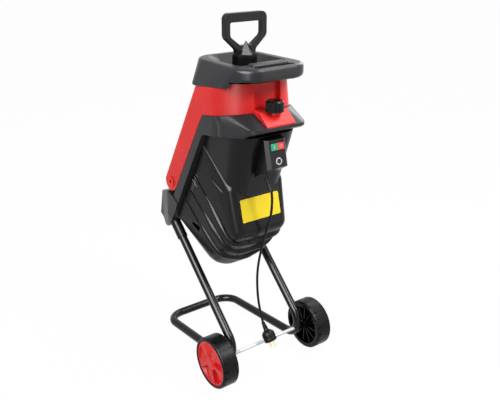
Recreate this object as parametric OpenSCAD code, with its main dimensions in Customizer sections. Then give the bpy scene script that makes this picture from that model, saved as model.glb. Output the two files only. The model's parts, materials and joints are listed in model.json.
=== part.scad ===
// Electric garden shredder on a two-wheeled tube stand.
// Lengths in millimetres. X runs along the axle, -Y is the switch side, +Z is up.
// The floor is z = 0. Heights in the modules are measured from the axle, which carries the stand.

/* [Stand] */
// Diameter of the stand tube
tube_d = 25; // [22:1:28]
// Wall of the stand tube
tube_wall = 1.5; // [1:0.1:2.5]
// Half the distance between the two legs
leg_half = 121; // [118:1:132]
// Rise of the legs above the floor line, in degrees
leg_angle = 42.8; // [41:0.2:45]
// Radius of the bend that carries the axle
bend_r = 51; // [45:1:60]
// Distance from the axle to the rear bar
base_reach = 374; // [350:2:450]
// Radius of the two rear corners
corner_r = 55; // [40:1:80]

/* [Wheels] */
// Diameter of the wheels
wheel_d = 150; // [125:1:200]
// Width of the tyres
tyre_w = 51; // [44:1:62]
// Depth of the tyre band
tyre_band = 9; // [7:0.5:12]
// Distance between the inner faces of the wheels
track = 290; // [288:1:330]
// Diameter of the axle rod
axle_d = 10; // [8:0.5:12]
// Notches on each tyre shoulder
tread_count = 20; // [8:1:30]
// Spokes of the hub caps
spoke_count = 5; // [3:1:8]

/* [Housing] */
// Lean of the cutter housing from the vertical, in degrees
lean = 27; // [26:0.5:28]
// Thickness of the grey cutter housing
band_t = 30; // [28:1:32]
// Wall of the moulded shells
wall = 3; // [2.5:0.25:4]
// Radius of the front corners of the housing
front_r = 55; // [40:1:65]
// Radius of the front corners at the top of the hopper
hopper_r = 100; // [80:1:104]
// Half width of the apron under the lock knob
apron_half = 91; // [82:1:94]

/* [Cutter] */
// Diameter of the cutter disc
disc_d = 190; // [160:1:200]
// Thickness of the cutter disc
disc_t = 8; // [6:0.5:9]
// Thickness of the knives
knife_t = 5; // [4:0.5:6]
// Diameter of the cutter spindle
spindle_d = 15; // [12:0.5:17]
// Tooth module of the gear pair
tooth_module = 1.5; // [1.25:0.05:1.6]
// Teeth on the motor pinion
pinion_teeth = 14; // [14:1:16]
// Teeth on the spindle gear
gear_teeth = 42; // [38:1:44]

/* [Motor] */
// Diameter of the stator core
stator_d = 92; // [80:1:98]
// Length of the stator core
stator_l = 52; // [40:1:60]
// Diameter of the rotor core
rotor_d = 54; // [46:1:58]
// Diameter of the rotor shaft
rotor_shaft_d = 10; // [8:0.5:12]

/* [Switch] */
// Width of the two push buttons together
button_w = 42.8; // [36:0.2:46]
// Height of the push buttons
button_h = 18.5; // [15:0.5:22]
// Travel of the push buttons
button_travel = 3; // [2:0.5:4]
// Diameter of the reset button
reset_d = 12; // [9:0.5:14]

/* [Hopper] */
// Width of the plunger stem
stem_w = 60; // [50:1:64]
// Depth of the plunger stem
stem_t = 22; // [18:1:30]
// Diameter of the lock knob
knob_d = 48; // [40:1:54]
// Height of the lock knob
knob_h = 28; // [22:1:30]
// Flutes around the lock knob
knob_flutes = 16; // [8:1:24]

/* [Hidden] */
$fn = 64;
run_gap = 0.05;
face_gap = 0.3;
film_gap = 0.02;
tube_r = tube_d / 2;
wheel_r = wheel_d / 2;
axle_r = axle_d / 2;
wheel_in = track / 2;

// The tube's centre line passes this far above the axle at its bend
axle_drop = 3;
bend_lap = 0.5;
bend_swell = 0.05;
rear_z = tube_r - wheel_r;
function bisector(b) = (leg_angle - b) / 2;
function half_open(b) = (leg_angle + b) / 2;
function knee_reach(b) = bend_r * (1 / sin(half_open(b)) - 1);
function knee(b) = [-knee_reach(b) * cos(bisector(b)), axle_drop - knee_reach(b) * sin(bisector(b))];
function slope_to_bar(b) = atan2(knee(b)[1] - rear_z, base_reach - knee(b)[0]);
function settle(b, turns) = turns == 0 ? b : settle(slope_to_bar(b), turns - 1);
base_angle = settle(6, 12);
knee_y = knee(base_angle)[0];
knee_z = knee(base_angle)[1];
tangent_l = bend_r / tan(half_open(base_angle));
base_l = (base_reach - knee_y) / cos(base_angle);
bend_y = bend_r * cos(bisector(base_angle));
bend_z = axle_drop + bend_r * sin(bisector(base_angle));
// The whole machine is centred front to rear on the origin
axle_y = (wheel_r - base_reach - tube_r) / 2;

// Wheel core and hub cap, measured from the wheel's inner face
hub_l = tyre_w - 11;
hub_r = axle_r + 10;
clip_t = 2;
clip_r = axle_r + 5;
core_r = wheel_r - tyre_band;
core_rim = 6;
core_web = 4;
core_web_z = tyre_w * 0.5;
core_ribs = 12;
core_rib_t = 3;
cap_t = 12;
cap_top = tyre_w - 2;
cap_r = core_r - 0.8;
cap_rim = 5;
cap_well = hub_l + face_gap + clip_t + 3 - cap_top + cap_t;
boss_r = 15;
boss_rise = 1.5;
spoke_sweep = 22;
pocket_high = 8;
pocket_low = 3;
pocket_lean = 4;
tread_depth = 2.5;
tread_notch = 3.5;

// Leg sockets, as distances along the leg from the knee
function leg_station(y) = (y - knee_y) / cos(leg_angle);
socket_low = leg_station(251);
leg_top = leg_station(294);
socket_wall = 3;
socket_r = tube_r + socket_wall;

// Centre of the cutter disc. v runs up the lean, w runs towards the motor
disc_y = 238;
disc_z = 439;
band_half = band_t / 2;
band_low = -114;
function lean_point(v, w) = [disc_y - v * sin(lean) - w * cos(lean), disc_z + v * cos(lean) - w * sin(lean)];

// Hinge of the hopper
hinge_v = -12;
hinge_w = -44;
hinge_at = lean_point(hinge_v, hinge_w);
hinge_pin_r = 5;
hinge_boss_r = 27;
hinge_x0 = 88;
hinge_x1 = 104;
hinge_x2 = 130;
hinge_bump = 7;

// Outline of the hopper and the housing
rear_w = -81.6;
form_top = 772;
form_low = 300;
half_top = 112;
half_low = 143;
form_front = -3;
rear_r = 10;
split_top_rear = [129, 677];
split_top_front = [0, 697];
visor_low_rear = [127, 625];
visor_low_front = [-24, 645];
ramp_front = -60;
ramp_low = 669;
lip_h = 8;
seam = 1;
level_t = 0.5;

// Lock knob, on a vertical axis above the tongue
knob_y = -30;
knob_z = 703;
tongue_half = 45;
stud_r = 6;

// Switch box face
face_tilt = 12.5;
face_y = -46;
face_z = 594;
face_half = 25;
bevel_half = 34;
bevel_t = 10;
face_low = -37;
face_high = 37;
button_v = 18.5;
reset_v = -20;

// Plunger
plunger_y = 100;
block_t = stem_t + 6;
handle_t = 17;
block_top = 828;
slot_gap = 3;
slot_w = stem_w + 2 * slot_gap;
rail_low = 782;
funnel_floor = 776;

// Values shared by the pieces of the housing
split_r = 14;
apron_r = 30;
visor_r = 50;
hood_ridge = [300, 416];
hood_rear_top = [363, 394];
hood_rear_low = [380, 315];
hood_low = [340, 290];
hood_socket = [312, 296];
hood_half = 139;
hood_rear_half = 122;
cheek_x = 102;
lug_r = 15;
bolt_r = 3;
chamber_r = disc_d / 2 + 7;
// Rounded corners of the motor cover's nose: half width, y, z and radius. The first two hold its flat front
nose_balls = [
    [75, 61, 476, 20], [62, 45, 362, 32], [24.5, 162, 272, 63], [102, 270, 352, 18], [92, 154, 580, 18]
];
front_fall = [nose_balls[0][1] - nose_balls[1][1], nose_balls[0][2] - nose_balls[1][2]];
front_tilt = atan2(front_fall[0], front_fall[1])
    + asin((nose_balls[1][3] - nose_balls[0][3]) / norm(front_fall));
sticker_down = 62;
sticker_h = 64;
sticker_half = 65;
sticker_r = 4;
sticker_t = 0.6;
screw_x = 103;
screw_v = -70;
screw_seat = 28;
screw_pocket_r = 13;
screw_r = 2.5;
// Side slits: y, z, slope and length
slits = [[190, 473, 41.6, 44], [92, 488, 32, 56]];

// Values shared by the drive
plate_w = band_half + 0.3;
plate_t = 5;
bearing_r = 17.5;
bearing_t = 11;
rotor_bearing_r = 13;
gear_w = plate_w + bearing_t + 5;
gear_t = 10;
case_r = tooth_module * gear_teeth / 2 + 8;
case_h = gear_w + gear_t + 14 - plate_w - plate_t;
commutator_r = 15;
fan_r = 40;

// Values shared by the hopper
recess_half = 42;
recess_depth = 15;
tongue_back = 701;
tongue_front = 674;
stud_tip = 672;
seat_r = 13;
seat_low = 660;
// Rounded corners of the collar: half width, y, z, radius in plan and radius of the edge
collar_posts = [
    [38, 152, 810, 62, 8], [90, 163, 754, 30, 4], [88, 42, 766, 26, 4],
    [50, 5, 808, 55, 10], [50, 5, 793, 55, 11]
];
// Rounded corners of the funnel's mouth: half width, y and radius
mouth_corners = [[28, 144, 50], [64, 28, 14]];
mouth_top = 819;
grip_front = -37;
grip_rear = -18;
grip_half = 62;
rail_rear = 14;
rail_half = 66;
skirt_front = 17;
chute_depth = 50;
chute_w = -12;
chute_v = 90;
chute_knee = [135, 685];
chute_bend = 714;
stem_low = 716;
stem_top = 800;
hollow_drop = 16;
ring_r = 10;
relief_top = [0, 2, 515];
relief_end = [0, -21, 480];
relief_r = 6;
plug_r = 19;

// Gear pair
gear_distance = tooth_module * (pinion_teeth + gear_teeth) / 2;
addendum = 0.8;
dedendum = 1.1;
pressure_angle = 20;
backlash = 0.25;

// Cord: its own diameter and the points it passes through
cord_r = 3.5;
cord_sides = 10;
cord_steps = 3;
cord_points = [
    [0, -21, 480], [1, -23, 455], [0, -20, 412], [-2, -6, 366], [-4, 6, 328], [-6, 16, 290],
    [-8, 24, 250], [-10, 27, 210], [-11, 25, 168], [-11, 19, 128], [-10, 10, 94], [-9, 0, 66]
];
plug_neck = [-9, 0, 66];
plug_face = [-2, -31, 16];
pin_spacing = 19;
pin_r = 2.4;
pin_l = 19;
pin_root_r = 1.9;
pin_sunk = 8;
pin_bare = 5;
plug_l = norm(plug_face - plug_neck);

// Ridges on the cover's corners: pitch, roll, depth and where each one passes
terrace_pitch = 41;
terrace_roll = 24;
terrace_step = 2;
terraces = [[133, 437], [156, 391], [175, 351]];

// Louvres: number, pitch, width and slot
louvre_count = 10;
louvre_pitch = 9;
louvre_l = 18;
louvre_gap = 2.4;

// Motor: where each piece starts along the drive
motor_w = plate_w + plate_t + case_h;
stator_w = motor_w + 22;
commutator_w = stator_w + stator_l + 16;
fan_w = commutator_w + 20;
can_l = fan_w + 22 - motor_w;
end_w = motor_w + can_l;

// Knives
knife_l = 62;
knife_w = 34;
knife_r = 54;

// The hopper's rolled lower end, as angle round the hinge and distance from it
roll = [
    [-150, 27], [-120, 27.5], [-95, 27.5], [-75, 28], [-55, 30], [-35, 32], [-20, 33], [-5, 34], [10, 35],
    [27, 37.6], [37, 38.18]
];
recess_low = split_top_front[1] + 2 * seam;
recess_high = form_top - seam;

// Right half of the D-handle, from the neck up and over, then the hand gap inside it, with corner radii
d_outer = [[stem_w / 2, 818], [stem_w / 2, 842], [66, 875], [66, 936], [0, 935]];
d_outer_r = [14, 18, 16];
d_inner = [[0, 852], [18, 853], [50, 877], [50, 913], [0, 908]];
d_inner_r = [14, 14, 5];
ridge_w = 4;

// Buttons: how deep they reach and the space behind them
button_deep = 17.7;
button_floor = 4;
reset_deep = 14;

// Frames that the sub-parts are laid out in

module on_axle() {
    translate([0, axle_y, wheel_r]) children();
}

// An outline in y and z, extruded across the machine
module across(width) {
    rotate([90, 0, 90]) translate([0, 0, -width / 2]) linear_extrude(width) children();
}

// The leaning frame of the cutter: x, v up the lean, w towards the motor
module drive() {
    on_axle() translate([0, disc_y, disc_z]) rotate([90 + lean, 0, 0]) children();
}

module on_rotor() {
    drive() translate([0, -gear_distance, 0]) children();
}

module both_sides() {
    children();
    mirror([1, 0, 0]) children();
}

// The switch face: x, up the face, outwards
module on_switch() {
    on_axle() translate([0, face_y, face_z]) rotate([90 - face_tilt, 0, 0]) children();
}

module point_along(from, to) {
    d = to - from;
    translate(from) rotate([0, acos(d[2] / norm(d)), atan2(d[1], d[0])]) children();
}

module ring(r_in, r_out, h) {
    difference() {
        cylinder(r = r_out, h = h);
        translate([0, 0, -1]) cylinder(r = r_in, h = h + 2);
    }
}

module slab(w, d, h) {
    translate([-w / 2, -d / 2, 0]) cube([w, d, h]);
}

// Stand

module leg_line(from, length, r) {
    translate([leg_half, knee_y, knee_z]) rotate([leg_angle - 90, 0, 0]) translate([0, 0, from])
        cylinder(r = r, h = length);
}

// The bends are a hair thicker than the straight runs and lap over their ends
module stand_half_path(r, extra) {
    leg_line(tangent_l, leg_top - tangent_l + extra, r);
    translate([leg_half, bend_y, bend_z]) rotate([90, 0, 90]) rotate([0, 0, leg_angle + 90 - bend_lap])
        rotate_extrude(angle = 180 - leg_angle - base_angle + 2 * bend_lap)
            translate([bend_r, 0]) circle(r + bend_swell);
    translate([0, knee_y, knee_z]) rotate([-base_angle, 0, 0]) {
        translate([leg_half, tangent_l, 0]) rotate([-90, 0, 0])
            cylinder(r = r, h = base_l - tangent_l - corner_r);
        translate([leg_half - corner_r, base_l - corner_r, 0])
            rotate_extrude(angle = 90) translate([corner_r, 0]) circle(r);
        translate([0, base_l, 0]) rotate([0, 90, 0]) cylinder(r = r, h = leg_half - corner_r);
    }
}

module stand_path(r, extra) {
    both_sides() stand_half_path(r, extra);
}

module stand_tube() {
    color("#15161a") on_axle() difference() {
        stand_path(tube_r, 0);
        stand_path(tube_r - tube_wall, 1);
        translate([-leg_half - tube_d, 0, 0]) rotate([0, 90, 0])
            cylinder(r = axle_r + face_gap, h = 2 * (leg_half + tube_d));
    }
}

module axle_rod() {
    half_l = wheel_in + hub_l + face_gap + clip_t + 1.2;
    color("#c9ccd0") on_axle() translate([-half_l, 0, 0]) rotate([0, 90, 0])
        cylinder(r = axle_r, h = 2 * half_l);
}

module axle_spacers() {
    x0 = leg_half + tube_r + face_gap;
    color("#2a2b2e") on_axle() both_sides() translate([x0, 0, 0]) rotate([0, 90, 0])
        ring(axle_r + face_gap, axle_r + 4, wheel_in - face_gap - x0);
}

module axle_clips() {
    color("#b9bcc0") on_axle() both_sides() translate([wheel_in + hub_l + face_gap, 0, 0]) rotate([0, 90, 0])
        ring(axle_r + run_gap, clip_r, clip_t);
}

// Wheels, drawn on the right with the outer face at tyre_w

module on_wheel(side) {
    on_axle() mirror([side < 0 ? 1 : 0, 0, 0]) translate([wheel_in, 0, 0]) rotate([0, 90, 0]) children();
}

module tyre() {
    shoulder = tyre_band * 0.7;
    cut_l = shoulder + 2 * tread_notch;
    difference() {
        rotate_extrude() translate([core_r, 0]) intersection() {
            union() {
                square([tyre_band - shoulder, tyre_w]);
                translate([0, shoulder]) square([tyre_band, tyre_w - 2 * shoulder]);
                for (z = [shoulder, tyre_w - shoulder])
                    translate([tyre_band - shoulder, z]) circle(shoulder);
            }
            square([2 * tyre_band, tyre_w]);
        }
        for (i = [0 : tread_count - 1], end = [0, 1])
            rotate([0, 0, (i + end / 2) * 360 / tread_count])
                translate([wheel_r - tread_depth, -tread_notch / 2, end == 0 ? -1 : tyre_w - cut_l + 1])
                    cube([2 * tread_depth, tread_notch, cut_l]);
    }
}

module wheel_core() {
    inner_r = core_r - core_rim;
    difference() {
        union() {
            ring(inner_r, core_r - run_gap, cap_top - cap_t - run_gap);
            translate([0, 0, core_web_z]) cylinder(r = inner_r + 1, h = core_web);
            cylinder(r = hub_r, h = hub_l);
            for (i = [0 : core_ribs - 1]) rotate([0, 0, i * 360 / core_ribs])
                translate([hub_r - 2, -core_rib_t / 2, core_rim])
                    cube([inner_r - hub_r + 3, core_rib_t, core_web_z - core_rim + 1]);
        }
        translate([0, 0, -1]) cylinder(r = axle_r + run_gap, h = tyre_w);
    }
}

// Pockets between the spokes, their floor sloping down from the boss to the rim
module cap_pockets(r_in, r_out) {
    sweep = 360 / spoke_count - spoke_sweep;
    far = 2 * r_out;
    intersection() {
        rotate_extrude() polygon([
            [r_in, pocket_high], [r_out - pocket_lean, pocket_low], [r_out, cap_t + 1], [r_in - 2, cap_t + 1]
        ]);
        for (i = [0 : spoke_count - 1]) rotate([0, 0, i * 360 / spoke_count]) linear_extrude(cap_t + 2)
            polygon([[boss_r / 2, 0], [far, 0], [far * cos(sweep), far * sin(sweep)],
                boss_r / 2 * [cos(sweep), sin(sweep)]]);
    }
}

module hub_cap() {
    translate([0, 0, cap_top - cap_t]) difference() {
        union() {
            cylinder(r = cap_r, h = cap_t);
            cylinder(r = boss_r, h = cap_t + boss_rise);
        }
        cap_pockets(hub_r + 6, cap_r - cap_rim);
        translate([0, 0, -1]) cylinder(r = hub_r + 2, h = cap_well + 1);
    }
}

module left_tyre() { color("#1b1c1e") on_wheel(-1) tyre(); }
module left_wheel_core() { color("#232427") on_wheel(-1) wheel_core(); }
module left_hub_cap() { color("#d9271f") on_wheel(-1) hub_cap(); }
module right_tyre() { color("#1b1c1e") on_wheel(1) tyre(); }
module right_wheel_core() { color("#232427") on_wheel(1) wheel_core(); }
module right_hub_cap() { color("#d9271f") on_wheel(1) hub_cap(); }

// The common outer form of hopper and cutter housing: a leaning, tapered loft with rounded front corners

function form_half(z) = half_top + (half_low - half_top) * (form_top - z) / (form_top - form_low);
function rear_line(z) = disc_y - (z - disc_z) * tan(lean) - rear_w / cos(lean);

// Points of the arc that rounds the corner b between a and c
function unit(p) = p / norm(p);
function round_corner(a, b, c, r, n = 8) =
    let (
        u = unit(a - b), v = unit(c - b), half = acos(u * v) / 2,
        p = b + u * r / tan(half), q = b + v * r / tan(half), o = b + unit(u + v) * r / sin(half),
        s = p - o, e = q - o, turn = acos(s * e / (r * r))
    ) [for (i = [0 : n]) o + (s * sin(turn * (1 - i / n)) + e * sin(turn * i / n)) / sin(turn)];

function form_r(z) = hopper_r + (front_r - hopper_r) * (form_top - z) / (form_top - form_low);

module form_level(z, inset) {
    half = form_half(z) - inset;
    r = form_r(z) - inset;
    translate([0, 0, z]) for (s = [-1, 1]) {
        translate([s * (half - r), form_front + inset + r, 0]) linear_extrude(level_t)
            polygon([for (a = [180 : 5 : 360]) r * [cos(a), sin(a)]]);
        translate([s * (half - rear_r), rear_line(z) - inset - rear_r, 0])
            cylinder(r = rear_r, h = level_t, $fn = 24);
    }
}

module body_form(inset) {
    hull() {
        form_level(form_top, inset);
        form_level(form_low, inset);
    }
}

// A slab of the leaning frame between two values of v and of w
module lean_slab(half, v0, v1, w0, w1) {
    translate([0, disc_y, disc_z]) rotate([90 + lean, 0, 0]) translate([-half, v0, w0])
        cube([2 * half, v1 - v0, w1 - w0]);
}

module at_hinge(x) {
    translate([x, hinge_at[0], hinge_at[1]]) rotate([0, 90, 0]) children();
}

// Grey housing

module housing_side() {
    rear = lean_point(0, -band_half);
    polygon(concat(
        [lean_point(band_low, band_half)],
        round_corner(lean_point(0, band_half), visor_low_rear, visor_low_front, 16),
        [visor_low_front, [ramp_front + 16, ramp_low - lip_h - 4], [ramp_front, ramp_low - lip_h],
            [ramp_front, ramp_low], split_top_front],
        round_corner(split_top_front, split_top_rear, rear, split_r),
        [lean_point(hinge_v - 20, -band_half), lean_point(band_low, -band_half)]
    ));
}

// The visor's plan runs round from the body's sides to the front of the ramp
module visor_plan() {
    side = form_half(ramp_low) - visor_r - seam;
    hull() for (s = [-1, 1]) {
        translate([s * side, form_front + visor_r]) circle(visor_r);
        translate([s * (apron_half - apron_r), ramp_front + apron_r]) circle(apron_r);
    }
}

// A brim that spreads from the body's own outline at the split down to its plan
module visor_form() {
    translate([0, 0, form_low]) linear_extrude(ramp_low - form_low) visor_plan();
    hull() {
        translate([0, 0, ramp_low - lip_h]) linear_extrude(lip_h) visor_plan();
        intersection() {
            form_level(split_top_front[1] + 2 * seam, seam);
            translate([-200, -200, 0]) cube([400, 300, form_top]);
        }
    }
}

module hood_side() {
    polygon([
        lean_point(hinge_v - 34, -band_half), hood_ridge, hood_rear_top, hood_rear_low, hood_low, hood_socket,
        lean_point(band_low, band_half), lean_point(hinge_v - 34, band_half)
    ]);
}

module hood_plan() {
    front = 180;
    polygon([
        [-hood_half, front], [hood_half, front], [hood_half, hood_ridge[0] + 4],
        [hood_rear_half, hood_rear_top[0]], [hood_rear_half, hood_rear_low[0] + 10],
        [-hood_rear_half, hood_rear_low[0] + 10], [-hood_rear_half, hood_rear_top[0]],
        [-hood_half, hood_ridge[0] + 4]
    ]);
}

module hood_cavity() {
    x = cheek_x - wall;
    across(2 * x) polygon([
        lean_point(hinge_v - 38, -band_half - 4), hood_ridge - [0, wall + 1], hood_rear_top - [wall, wall],
        hood_rear_low - [wall, 0], hood_rear_low - [wall, 80],
        lean_point(band_low - 60, band_half - wall - 1),
        lean_point(hinge_v - 38, band_half - wall - 1)
    ]);
}

module visor_cavity() {
    intersection() {
        body_form(wall + 2);
        across(400) polygon([
            visor_low_rear + [0, -20], visor_low_front + [4, -20], visor_low_front + [4, 10],
            split_top_front - [-10, wall + 12], split_top_rear - [16, wall + 10]
        ]);
    }
}

module leg_bores() {
    both_sides() leg_line(socket_low, leg_top - socket_low + 8, socket_r + face_gap);
}

module hinge_lugs() {
    both_sides() {
        at_hinge(hinge_x0) cylinder(r = lug_r, h = hinge_x1 - hinge_x0 - face_gap);
        translate([(hinge_x0 + hinge_x1 - face_gap) / 2, 0, 0])
            across(hinge_x1 - hinge_x0 - face_gap) polygon([
            hinge_at - [lug_r, 0], hinge_at + [lug_r, 0], hood_ridge + [24, -12], hood_ridge + [-14, -12]
        ]);
    }
}

module cutter_housing() {
    color("#4b4d52") on_axle() difference() {
        union() {
            difference() {
                intersection() {
                    union() {
                        body_form(0);
                        visor_form();
                    }
                    across(400) housing_side();
                }
                intersection() {
                    body_form(wall);
                    lean_slab(200, hinge_v - 40, 230, -band_half - 30, band_half - 4);
                    translate([-200, 0, 0]) cube([400, 400, split_top_rear[1] - wall - 2]);
                }
            }
            intersection() {
                across(400) hood_side();
                translate([0, 0, 200]) linear_extrude(300) hood_plan();
            }
            translate([0, disc_y, disc_z]) rotate([90 + lean, 0, 0]) translate([0, 0, -band_half + 6])
                ring(chamber_r, chamber_r + wall, band_t - 8);
            hinge_lugs();
        }
        translate([0, disc_y, disc_z]) rotate([90 + lean, 0, 0]) {
            translate([0, 0, -band_half - 1]) cylinder(r = chamber_r, h = band_t - 3);
            cylinder(r = bearing_r + 3, h = 40);
        }
        hood_cavity();
        visor_cavity();
        leg_bores();
        both_sides() at_hinge(hinge_x1) cylinder(r = hinge_boss_r + seam, h = 60);
        at_hinge(-150) cylinder(r = hinge_pin_r + run_gap, h = 300);
        translate([0, knob_y, visor_low_rear[1]]) cylinder(r = seat_r + 0.1, h = 100);
    }
}

module leg_sockets() {
    color("#141518") on_axle() both_sides() difference() {
        leg_line(socket_low, leg_top - socket_low + 5, socket_r);
        leg_line(socket_low - 1, leg_top - socket_low + 1 + face_gap, tube_r + 0.1);
        on_leg_bolt() translate([0, 0, -20]) cylinder(r = bolt_r + 0.1, h = 40);
    }
}

// The bolt enters each socket from below
module on_leg_bolt() {
    translate([leg_half, knee_y, knee_z]) rotate([leg_angle - 90, 0, 0])
        translate([0, 0, socket_low + 14]) rotate([-90, 0, 0]) translate([0, 0, socket_r]) children();
}

module leg_bolts() {
    color("#8d9095") on_axle() both_sides() on_leg_bolt() union() {
        cylinder(r = bolt_r + 2.5, h = 4);
        translate([0, 0, -socket_wall]) cylinder(r = bolt_r, h = socket_wall);
    }
}

module hinge_pins() {
    color("#9fa2a6") on_axle() both_sides() at_hinge(hinge_x0 - 4)
        cylinder(r = hinge_pin_r, h = hinge_x2 - hinge_x0);
}

// The threaded seat under the tongue, with a conical mouth for the stud
module lock_seat() {
    color("#b0a070") on_axle() intersection() {
        translate([0, knob_y, visor_low_rear[1]]) difference() {
            cylinder(r = seat_r, h = 100);
            translate([0, 0, stud_tip - visor_low_rear[1] - 0.5]) cylinder(r1 = 0.6, r2 = 100.6, h = 100);
        }
        across(60) housing_side();
        translate([-50, -100, seat_low]) cube([100, 200, 100]);
    }
}

// Motor cover: a rounded nose below, a tapered throat above

module ball(x, y, z, r) {
    for (s = [-1, 1]) translate([s * x, y, z]) sphere(r = r, $fn = 24);
}

module nose(grow) {
    hull() {
        for (b = nose_balls) ball(b[0], b[1], b[2], b[3] + grow);
    }
}

module throat(grow) {
    hull() {
        for (s = [-1, 1]) translate([s * 42, 38, 636])
            cylinder(r = 60 + grow, h = grow < 0 ? 6 : 2, $fn = 48);
        ball(44, 80, 470, 45 + grow);
        ball(98, 136, 624, 10 + grow);
        ball(96, 164, 570, 10 + grow);
    }
}

// Terrace lines run down the sides and meet low at the front
module below_terrace(y, z) {
    for (s = [-1, 1]) intersection() {
        translate([s * 110, y, z]) rotate([0, -s * terrace_roll, 0]) rotate([terrace_pitch, 0, 0])
            translate([-300, -400, -400]) cube([600, 800, 400]);
        translate([s > 0 ? 0 : -200, -100, 0]) cube([200, 500, 700]);
    }
}

module cover_shell(grow) {
    nose(grow);
    throat(grow);
}

module motor_cover() {
    lip = 0.2;
    color("#1f2023") on_axle() difference() {
        intersection() {
            union() {
                cover_shell(0);
                for (i = [0 : len(terraces) - 1]) intersection() {
                    nose(terrace_step * (i + 1));
                    below_terrace(terraces[i][0], terraces[i][1]);
                }
            }
            lean_slab(200, -200, 300, band_half + lip, 400);
        }
        difference() {
            cover_shell(-wall);
            on_cover_screws() translate([0, 0, band_half])
                cylinder(r = screw_pocket_r + wall, h = screw_seat - band_half);
        }
        across(400) offset(delta = face_gap) housing_side();
        side_slits();
        louvres();
        both_sides() leg_line(socket_low - 6, 200, socket_r + 1);
        cover_screw_holes();
    }
}

// Cooling louvres along the seam, cut through the shell
module louvres() {
    both_sides() for (i = [0 : louvre_count - 1])
        let (at = lean_point(70 - i * louvre_pitch, band_half + 16)) translate([100, at[0], at[1]])
            rotate([leg_angle, 0, 0]) translate([0, -louvre_l / 2, -louvre_gap / 2])
                cube([60, louvre_l, louvre_gap]);
}

module on_cover_screws() {
    both_sides() translate([0, disc_y, disc_z]) rotate([90 + lean, 0, 0])
        translate([screw_x, screw_v, 0]) children();
}

module cover_screw_holes() {
    on_cover_screws() {
        translate([0, 0, screw_seat]) cylinder(r = screw_pocket_r, h = 80);
        cylinder(r = screw_r + 0.1, h = 80);
    }
}

module cover_screws() {
    color("#6a6d72") on_axle() on_cover_screws() {
        translate([0, 0, screw_seat]) cylinder(r = screw_r + 3, h = 3.5);
        translate([0, 0, band_half + 1]) cylinder(r = screw_r, h = screw_seat - band_half);
    }
}

// Two cooling slits on each side
module side_slits() {
    both_sides() for (slit = slits) translate([60, slit[0], slit[1]]) rotate([slit[2], 0, 0])
        translate([0, -slit[3] / 2, -1.5]) cube([80, slit[3], 3]);
}

module front_sticker() {
    high = nose_balls[0];
    color("#f2d21f") on_axle() translate([0, high[1], high[2]]) rotate([90 - front_tilt, 0, 0])
        translate([0, -sticker_down, high[3] + film_gap]) linear_extrude(sticker_t) sticker_outline();
}

module sticker_outline() {
    x0 = sticker_half - sticker_r;
    y0 = sticker_h / 2 - sticker_r;
    square([2 * x0, sticker_h], center = true);
    square([2 * sticker_half, 2 * y0], center = true);
    for (x = [-x0, x0], y = [-y0, y0]) translate([x, y]) circle(sticker_r);
}

// Motor and gears, along w from the housing floor

module motor_plate() {
    color("#a9acb0") drive() difference() {
        translate([0, 0, plate_w]) union() {
            translate([0, -gear_distance / 2, 0]) slab(150, 150, plate_t);
            cylinder(r = bearing_r + 4, h = bearing_t + 3);
        }
        translate([0, 0, plate_w - 1]) cylinder(r = spindle_d / 2 + 1, h = 40);
        translate([0, 0, plate_w + 3]) cylinder(r = bearing_r + 0.02, h = 40);
        translate([0, -gear_distance, plate_w - 1]) cylinder(r = 14, h = 40);
    }
}

module spindle_bearing() {
    color("#c4c7ca") drive() translate([0, 0, plate_w + 3])
        ring(spindle_d / 2 + run_gap, bearing_r, bearing_t);
}

// A cup over the gear pair that carries the motor
module gear_case() {
    color("#8b8e93") drive() difference() {
        translate([0, 0, plate_w + plate_t]) union() {
            cylinder(r = case_r, h = case_h);
            translate([0, -gear_distance, 0]) cylinder(r = stator_d / 2 + 4, h = case_h);
        }
        translate([0, 0, plate_w + plate_t - 1]) {
            cylinder(r = case_r - wall, h = case_h - wall + 1);
            translate([0, -gear_distance, 0]) cylinder(r = stator_d / 2 + 4 - wall, h = case_h - wall + 1);
            translate([0, -gear_distance, 0]) cylinder(r = rotor_bearing_r + 0.02, h = case_h + 10);
        }
    }
}

module motor_can() {
    can_r = stator_d / 2 + 0.2;
    color("#6f7277") on_rotor() difference() {
        translate([0, 0, motor_w]) union() {
            ring(can_r, can_r + 2.5, can_l);
            translate([0, 0, can_l - 4]) cylinder(r = can_r + 1, h = 4);
            translate([0, 0, can_l - 12]) cylinder(r = rotor_bearing_r + 3, h = 12);
        }
        translate([0, 0, end_w - 13]) cylinder(r = rotor_bearing_r + 0.02, h = 20);
        for (i = [0 : 5]) rotate([0, 0, i * 60 + 30])
            translate([can_r - 10, -8, fan_w - 2]) cube([20, 16, 12]);
    }
}

module stator_core() {
    color("#7d8085") on_rotor() translate([0, 0, stator_w]) difference() {
        cylinder(r = stator_d / 2, h = stator_l);
        translate([0, 0, -1]) cylinder(r = rotor_d / 2 + 0.6, h = stator_l + 2);
        for (s = [-1, 1]) translate([s * (rotor_d / 2 + 5), 0, -1]) slab(14, 44, stator_l + 2);
    }
}

module field_windings() {
    color("#b4652a") on_rotor() for (end = [-10, stator_l + 0.3])
        translate([0, 0, stator_w + end]) difference() {
            ring(rotor_d / 2 + 3, stator_d / 2 - 3, 9.7);
            for (s = [-1, 1]) translate([0, s * stator_d / 2, -1]) slab(22, 40, 12);
        }
}

module brush_holders() {
    reach = stator_d / 2 - 0.5 - commutator_r;
    color("#3a2f22") on_rotor() for (s = [-1, 1])
        translate([s * (commutator_r + 0.3 + reach / 2), 0, commutator_w + 2]) slab(reach, 12, 10);
}

module rotor_bearings() {
    color("#c4c7ca") on_rotor() for (w = [motor_w - 9, end_w - 10])
        translate([0, 0, w]) ring(rotor_shaft_d / 2 + run_gap, rotor_bearing_r, 8);
}

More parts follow.
